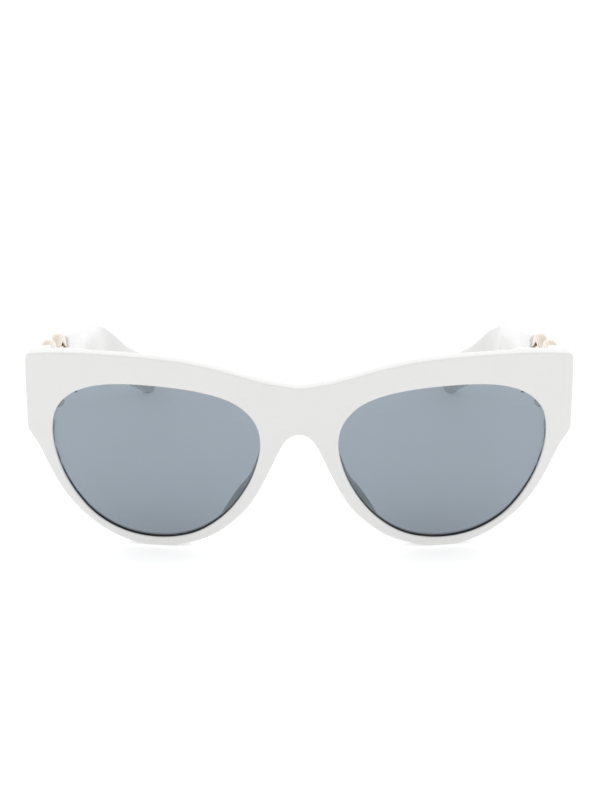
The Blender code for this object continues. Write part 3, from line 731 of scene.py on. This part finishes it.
def screw_slot(sizes, matrix, turn):
    """The cutter for a driver slot, across the upper half of a screw's head."""
    _, head_radius, head, _ = sizes
    bm = bmesh.new()
    slot = Matrix.Translation((0, 0, head * 1.1)) @ Matrix.Rotation(turn, 4, "Z")
    size = Matrix.Diagonal((head_radius * 2.4, head_radius * SLOT_WIDTH, head * 1.2, 1))
    bmesh.ops.create_cube(bm, size=1, matrix=matrix @ slot @ size)
    bmesh.ops.recalc_face_normals(bm, faces=bm.faces)
    return bm


def add_screw(name, node, body, sizes, matrix, turn):
    """One slotted steel screw that stands for its CAD node."""
    screw = new_piece(name, domed_screw(sizes, matrix), steel)
    reshape(screw, [screw_slot(sizes, matrix, turn)], "DIFFERENCE")
    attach(screw, body)
    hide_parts(node)


def gold_finish():
    finish, tree, shader = new_finish("pale_gold_plate", metallic=1.0)
    tone = shade(tree, grain(tree, 120, 3), (0.62, 0.56, 0.49), (0.66, 0.6, 0.525))
    tree.links.new(tone, shader.inputs["Base Color"])
    gloss = spread(tree, grain(tree, 500, 6, (1, 0.15, 1)), 0.17, 0.26)
    tree.links.new(gloss, shader.inputs["Roughness"])
    relief(tree, shader, [(grain(tree, 110, 2), 0.02 * MM),
                          (grain(tree, 2600, 3, (1, 0.06, 1)), 0.001 * MM)])
    return finish


def steel_finish():
    finish, tree, shader = new_finish("bright_steel", metallic=1.0)
    tone = shade(tree, grain(tree, 700, 3), (0.56, 0.56, 0.55), (0.66, 0.66, 0.65))
    tree.links.new(tone, shader.inputs["Base Color"])
    tree.links.new(spread(tree, grain(tree, 2200, 4), 0.16, 0.26), shader.inputs["Roughness"])
    relief(tree, shader, [(grain(tree, 3000, 3, (0.1, 1, 1)), 0.002 * MM)])
    return finish


gold = gold_finish()
steel = steel_finish()
half_tall = (KNUCKLES * KNUCKLE_PITCH - GAP) / 2
seat = LEAF_SEAT_DEPTH + LEAF_SEAT_GAP
clear = HINGE_DEPTH + KNUCKLE_RADIUS + GAP
for name, side in SIDES.items():
    leaf = new_piece(f"front_leaf_{name}", block(
        side, (FRONT_LEAF_INNER_X, seat, HINGE_MIDDLE_Z - half_tall),
        (HINGE_X + KNUCKLE_RADIUS, seat + GAP + LEAF_PLATE, HINGE_MIDDLE_Z + half_tall)), gold)
    reshape(leaf, knuckles(side, (0, 2, 4), HINGE_X - FRONT_WEB_HALF, HINGE_X + FRONT_WEB_HALF,
                           seat + LEAF_PLATE / 2, HINGE_DEPTH - MM), "UNION")
    reshape(leaf, [hinge_bore(side)], "DIFFERENCE", bevel=LEAF_BEVEL)
    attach(leaf, "front")
    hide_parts(f"front_hinge_leaf_{name}")
    for level, above in RIVET_RISES.items():
        place = upright(side, RIVET_X, seat + GAP + LEAF_PLATE, HINGE_MIDDLE_Z + above)
        rivet = new_piece(f"rivet_{level}_{name}", domed_screw(
            RIVET, place @ Matrix.Rotation(-math.pi / 2, 4, "X")), steel)
        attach(rivet, "front")
        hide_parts(f"front_leaf_rivet_{level}_{name}")
    inner = HINGE_X + KNUCKLE_RADIUS - LEAF_PLATE
    rings = []
    for depth in (clear, TEMPLE_LEAF_END):
        start = inner - (depth - HINGE_DEPTH) * TOE_IN
        rings.append([Vector((side * x, depth - ORIGIN_DEPTH, HINGE_MIDDLE_Z + up * half_tall))
                      for x, up in ((start, -1), (start, 1), (start + LEAF_PLATE, 1),
                                    (start + LEAF_PLATE, -1))])
    leaf = new_piece(f"temple_leaf_{name}", loft(rings), gold)
    reshape(leaf, knuckles(side, (1, 3), HINGE_X + TEMPLE_WEB[0], HINGE_X + TEMPLE_WEB[1],
                           HINGE_DEPTH + TEMPLE_WEB_START, clear + TEMPLE_WEB_BITE), "UNION")
    reshape(leaf, [hinge_bore(side)], "DIFFERENCE", bevel=LEAF_BEVEL)
    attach(leaf, f"temple_{name}")
    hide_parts(f"temple_hinge_leaf_{name}")
    top = HINGE_MIDDLE_Z + KNUCKLES * KNUCKLE_PITCH / 2
    add_screw(f"pivot_screw_{name}", f"hinge_screw_{name}", "front", PIVOT_SCREW,
              upright(side, HINGE_X, HINGE_DEPTH, top), PIVOT_TURN * side)

# ---------------------------------------------------------------- Carrier plates
# Behind the links runs a stamped gold-plated strip. It joins the hinge's leaf to the arm, and
# narrows to a tongue that lies let into the arm's inner face.
TEMPLE_Z = 44.0 * MM
DROP = math.tan(math.radians(11.6))
CARRIER_PLATE = 1.0 * MM
CARRIER_OFFSET = -1.8 * MM
CARRIER_HEIGHT = 12.6 * MM
CARRIER_REAR = 46.0 * MM
CARRIER_BROKEN_END = ((0, 0.2 * MM), (0.06 * MM, 0.06 * MM), (0.2 * MM, 0))  # in, and narrower
CARRIER_PLAIN = (17 * MM, 44.4 * MM)  # the even stretch between its ends
CARRIER_STEP = 3 * MM
CARRIER_CORNER = 0.3 * MM
SHOULDER = 1.0 * MM  # radius of the two corners beside the tongue
TONGUE_CORNER = 1.6 * MM
TONGUE_PLATE = 1.9 * MM
TONGUE_OFFSET = -1.3 * MM
TONGUE_HEIGHT = 8.4 * MM
TONGUE_LENGTH = 10.0 * MM
LINK_DEPTHS = {"front": 22.8 * MM, "rear": 37.8 * MM}
LINK_LENGTH = 14.6 * MM
LINK_BAR = 3.2 * MM
LINK_SCREW_DROPS = {"front": 4.2 * MM, "rear": 0.0}
ARM_SCREWS = {"front": 0.3, "rear": 0.8}  # shares of the tongue's length
SMALL_SCREW = (0.6 * MM, 1.25 * MM, 0.5 * MM, 3.4 * MM)
LINK_SCREW_TURN = 0.4
ARM_SCREW_TURN = -0.3
CARRIER_HOLE = 3 * MM
HOLE_RADIUS = 0.75 * MM
HOLE_LEAD = 0.6 * MM
HOLE_SIDES = 24


def temple_z(depth):
    return TEMPLE_Z - (depth - BUTT_DEPTH) * DROP


def soft_rectangle(width, height, corner, steps=4):
    """Points round a rectangle with rounded corners, as pairs of across and up."""
    points = []
    for turn, (across, up) in enumerate(((1, 1), (-1, 1), (-1, -1), (1, -1))):
        for i in range(steps + 1):
            angle = math.pi / 2 * (turn + i / steps)
            points.append((across * (width / 2 - corner) + corner * math.cos(angle),
                           up * (height / 2 - corner) + corner * math.sin(angle)))
    return points


def carrier_mesh(side):
    """Sections along the strip: broken ends, rounded shoulders, then the thicker tongue."""
    start, end = BUTT_DEPTH + GAP, CARRIER_REAR + TONGUE_LENGTH
    stations = [(start + inset, CARRIER_HEIGHT - 2 * less, CARRIER_PLATE - 2 * less, 0)
                for inset, less in CARRIER_BROKEN_END]
    stations += [(depth, CARRIER_HEIGHT, CARRIER_PLATE, 0)
                 for depth in steps_between(*CARRIER_PLAIN, CARRIER_STEP)]
    stations += [(CARRIER_REAR - short, CARRIER_HEIGHT - 2 * inset, CARRIER_PLATE, 0)
                 for short, inset in quarter(SHOULDER, 6)]
    stations += [(CARRIER_REAR + 0.02 * MM, TONGUE_HEIGHT, TONGUE_PLATE, 1),
                 (end - 2 * MM, TONGUE_HEIGHT, TONGUE_PLATE, 1)]
    stations += [(end - short, TONGUE_HEIGHT - 2 * inset, TONGUE_PLATE, 1)
                 for short, inset in quarter(TONGUE_CORNER, 6)]
    rings = []
    for depth, tall, thick, on_tongue in stations:
        x = temple_x(depth) + (TONGUE_OFFSET if on_tongue else CARRIER_OFFSET)
        rings.append([Vector((side * (x + across), depth - ORIGIN_DEPTH, temple_z(depth) + up))
                      for across, up in soft_rectangle(thick, tall, CARRIER_CORNER)])
    return loft(rings)


def link_screw_places(side):
    """Where each link's screw sits on the inner side of the carrier."""
    places = {}
    for place, outer in (("front", -1), ("rear", 1)):
        depth = LINK_DEPTHS[place] + outer * (LINK_LENGTH - LINK_BAR) / 2
        seat_x = temple_x(depth) + CARRIER_OFFSET - CARRIER_PLATE / 2
        z = temple_z(depth) - LINK_SCREW_DROPS[place]
        places[place] = sideways(side, seat_x, depth, z) @ Matrix.Rotation(math.pi, 4, "X")
    return places


def arm_screw_places(side):
    """Where the two arm screws sit on the tongue."""
    places = {}
    for place, share in ARM_SCREWS.items():
        depth = CARRIER_REAR + TONGUE_LENGTH * share
        seat_x = temple_x(depth) + TONGUE_OFFSET - TONGUE_PLATE / 2
        places[place] = (sideways(side, seat_x, depth, temple_z(depth))
                         @ Matrix.Rotation(math.pi, 4, "X"))
    return places


def screw_hole(matrix, length):
    return turned([(HOLE_RADIUS, -length), (HOLE_RADIUS, HOLE_LEAD)], matrix, HOLE_SIDES)


for name, side in SIDES.items():
    carrier = new_piece(f"carrier_plate_{name}", carrier_mesh(side), gold)
    link_places, arm_places = link_screw_places(side), arm_screw_places(side)
    spots = [*link_places.values(), *arm_places.values()]
    reshape(carrier, [screw_hole(m, CARRIER_HOLE) for m in spots], "DIFFERENCE")
    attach(carrier, f"temple_{name}")
    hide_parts(f"link_carrier_{name}")
    for place, matrix in link_places.items():
        add_screw(f"{place}_ornament_screw_{name}", f"{place}_link_screw_{name}",
                  f"temple_{name}", SMALL_SCREW, matrix, LINK_SCREW_TURN)
    for place, matrix in arm_places.items():
        add_screw(f"{place}_tongue_screw_{name}", f"arm_screw_{place}_{name}",
                  f"temple_{name}", SMALL_SCREW, matrix, ARM_SCREW_TURN)

# ---------------------------------------------------------------- Links
# Two tall oval links stand one behind the other on the outer side of each carrier. They are bent
# from round-edged bar, polished, plated pale gold, and held by a screw from the inner side.
LINK_HEIGHT = 21.4 * MM
LINK_OFFSET = 0.6 * MM
LINK_TILT = math.radians(6.0)
LINK_CORNER = 1.25 * MM
LINK_HOLE = 3.2 * MM
LINK_CREASE = 60  # degrees
ARC_STEPS = 39
STRAIGHT_STEPS = 8


def link_mesh(side, depth):
    straight = (LINK_HEIGHT - LINK_LENGTH) / 2
    radius = (LINK_LENGTH - LINK_BAR) / 2
    middle_line = []
    for half in (1, -1):
        for i in range(ARC_STEPS + 1):
            angle = math.pi * i / ARC_STEPS
            out = half * Vector((0, math.cos(angle), math.sin(angle)))
            middle_line.append((Vector((0, 0, half * straight)) + out * radius, out))
        out = Vector((0, -half, 0))
        for i in range(1, STRAIGHT_STEPS):
            z = half * straight * (1 - 2 * i / STRAIGHT_STEPS)
            middle_line.append((Vector((0, -half * radius, z)), out))
    place = (upright(side, temple_x(depth) + LINK_OFFSET, depth, temple_z(depth))
             @ Matrix.Rotation(math.atan(TOE_IN) * side, 4, "Z")
             @ Matrix.Rotation(-LINK_TILT, 4, "X"))
    section = soft_rectangle(LINK_BAR, LINK_BAR, LINK_CORNER, 6)
    bm = bmesh.new()
    rows = [[bm.verts.new(place @ (middle + out * up + Vector((across, 0, 0))))
             for across, up in section] for middle, out in middle_line]
    skin(bm, rows + rows[:1])
    return bm


for name, side in SIDES.items():
    for place, depth in LINK_DEPTHS.items():
        link = new_piece(f"oval_link_{place}_{name}", link_mesh(side, depth), gold,
                         LINK_CREASE)
        hole = screw_hole(link_screw_places(side)[place], LINK_HOLE)
        reshape(link, [hole], "DIFFERENCE", LINK_CREASE)
        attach(link, f"temple_{name}")
        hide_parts(f"{place}_link_{name}")

# ---------------------------------------------------------------- Temple arms
# Each arm is a blade of the white acetate, shot through with a flat steel wire, bent down and in
# behind the ear. It is polished all over, and its tip is rounded like a fingertip.
ARM_LINE = [(69.3, 46.8, 37.2), (68.1, 62.0, 34.3), (66.8, 90.0, 29.1),
            (64.8, 103.3, 25.4), (58.9, 114.4, 15.8), (50.6, 130.6, 4.9)]
ARM_HEIGHTS = [18.4, 17.6, 14.4, 11.6, 11.0, 11.6]
ARM_THICKNESS = 4.0 * MM
ARM_CORNER = 1.5 * MM
ARM_END = 1.6 * MM  # how far the front end's edges are rounded
ARM_LEAD = 0.9 * MM  # how far the front end runs ahead of the line
ARM_STEPS = 16
ARM_HOLE = 2.9 * MM
ARM_CREASE = 50
TIP_REACH = 3.6 * MM
TIP_STEPS = 12
TIP_THINNEST = 0.4  # share of the thickness left at the very tip
POCKET_OPEN = 2 * MM  # how far the pocket's cutter stands clear of the inner face
CORE_STEPS = 12
CORE_SKIP = 4
CORE_REACH = 0.86  # share of the arm's line that the wire's hollow fills
CORE_SLOT = (1.3 * MM, 3.3 * MM, 0.2 * MM, -0.7 * MM)  # thickness, height, corner, offset
CORE_END = 0.2 * MM


def arm_stations(steps):
    """Middle, direction, outward, upward and height along the left arm."""
    line = smooth_curve(ARM_LINE, steps)
    tall = [p.x for p in smooth_curve([(h, 0) for h in ARM_HEIGHTS], steps)]
    stations = []
    for i, place in enumerate(line):
        along = (line[min(i + 1, len(line) - 1)] - line[max(i - 1, 0)]).normalized()
        out = along.cross(Vector((0, 0, 1))).normalized()
        stations.append((place, along, out, out.cross(along).normalized(), tall[i]))
    return stations


def arm_ring(side, station, thick, tall, corner, offset=0.0, forward=0.0):
    """One section across the arm's line, which never dips below the table."""
    place, along, out, up, _ = station
    ring = []
    for across, rise_z in soft_rectangle(thick, tall, corner, 6):
        point = place + out * (across + offset) + up * rise_z + along * forward
        ring.append(Vector((side * point.x, point.y - ORIGIN_DEPTH, max(0.0, point.z))))
    return ring


def arm_mesh(side):
    stations = arm_stations(ARM_STEPS)
    first, tip = stations[0], stations[-1]
    rings = []
    for inset, forward in quarter(ARM_END, 6):
        rings.append(arm_ring(side, first, ARM_THICKNESS - 2 * inset, first[4] - 2 * inset,
                              ARM_CORNER - inset * 0.8, forward=forward - ARM_LEAD))
    rings += [arm_ring(side, s, ARM_THICKNESS, s[4], ARM_CORNER) for s in stations[1:]]
    for i in range(1, TIP_STEPS):
        turn = math.pi / 2 * i / TIP_STEPS
        share = math.cos(turn)
        # The corners shrink with the tip, and stay a little under half of its size
        corner = min(ARM_CORNER, tip[4] * share / 2.1, ARM_THICKNESS * (0.19 + 0.28 * share))
        thick = ARM_THICKNESS * (TIP_THINNEST + (1 - TIP_THINNEST) * share)
        rings.append(arm_ring(side, tip, thick, tip[4] * share, corner,
                              forward=TIP_REACH * math.sin(turn)))
    return loft(rings)


def tongue_pocket(side):
    """The pocket in the arm's inner face that takes the tongue."""
    section = soft_rectangle(TONGUE_PLATE + POCKET_OPEN, TONGUE_HEIGHT + GAP, CARRIER_CORNER)
    rings = []
    for depth in (CARRIER_REAR - 2 * MM, CARRIER_REAR + TONGUE_LENGTH + GAP):
        x = temple_x(depth) + TONGUE_OFFSET - POCKET_OPEN / 2
        rings.append([Vector((side * (x + across), depth - ORIGIN_DEPTH, temple_z(depth) + up))
                      for across, up in section])
    return loft(rings)


def core_slot(side):
    """The hollow that the core wire fills."""
    stations = arm_stations(CORE_STEPS)
    start = next(i for i, s in enumerate(stations)
                 if s[0].y > CARRIER_REAR + TONGUE_LENGTH + MM)
    stretch = stations[start:int(len(stations) * CORE_REACH):CORE_SKIP]
    sections = [(stretch[0], -CORE_END), *((s, 0) for s in stretch), (stretch[-1], CORE_END)]
    return loft([arm_ring(side, s, *CORE_SLOT, forward) for s, forward in sections])


for name, side in SIDES.items():
    arm = new_piece(f"acetate_arm_{name}", arm_mesh(side), white, ARM_CREASE)
    holes = [screw_hole(m, ARM_HOLE) for m in arm_screw_places(side).values()]
    reshape(arm, [tongue_pocket(side), core_slot(side), *holes], "DIFFERENCE", ARM_CREASE)
    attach(arm, f"temple_{name}")
    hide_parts(f"temple_arm_{name}")
    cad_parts[f"core_wire_{name}"].material_slots[0].material = steel
